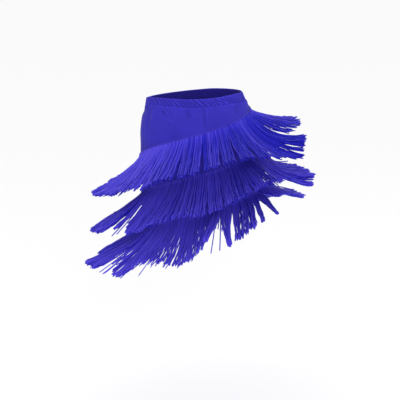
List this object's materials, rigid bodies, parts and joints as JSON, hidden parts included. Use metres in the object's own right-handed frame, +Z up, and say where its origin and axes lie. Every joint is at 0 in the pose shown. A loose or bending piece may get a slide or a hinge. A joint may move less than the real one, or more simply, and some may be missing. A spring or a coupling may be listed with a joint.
{
  "type": "latin dance skirt",
  "caption": "Latin dance skirt: gathered elastic waist, slim stretch body and slanting tiers of long swung fringe, open at waist and hem and hollow as when worn.",
  "frame": {"origin": "centre of the waistband, halfway down it, where the wearer's waist holds the skirt", "axes": "+Z up, +X towards the side where the tiers sit higher, -Y to the front of the skirt; the skirt leans 4 degrees in the XZ plane"},
  "size_m": [0.6491, 0.5744, 0.4806],
  "materials": {
    "waistband": "gathered stretch jersey over elastic, violet blue, matt with a soft sheen",
    "body_cloth": "smooth stretch jersey, violet blue, matt with a soft sheen",
    "fringe": "twisted chainette fringe, violet blue, silky"
  },
  "bodies": {
    "root": {"waistband": "waistband", "front_panel": "body_cloth", "back_panel": "body_cloth", "fringe_tier_1": "fringe", "fringe_tier_2": "fringe", "fringe_tier_3": "fringe"}
  },
  "joints": []
}
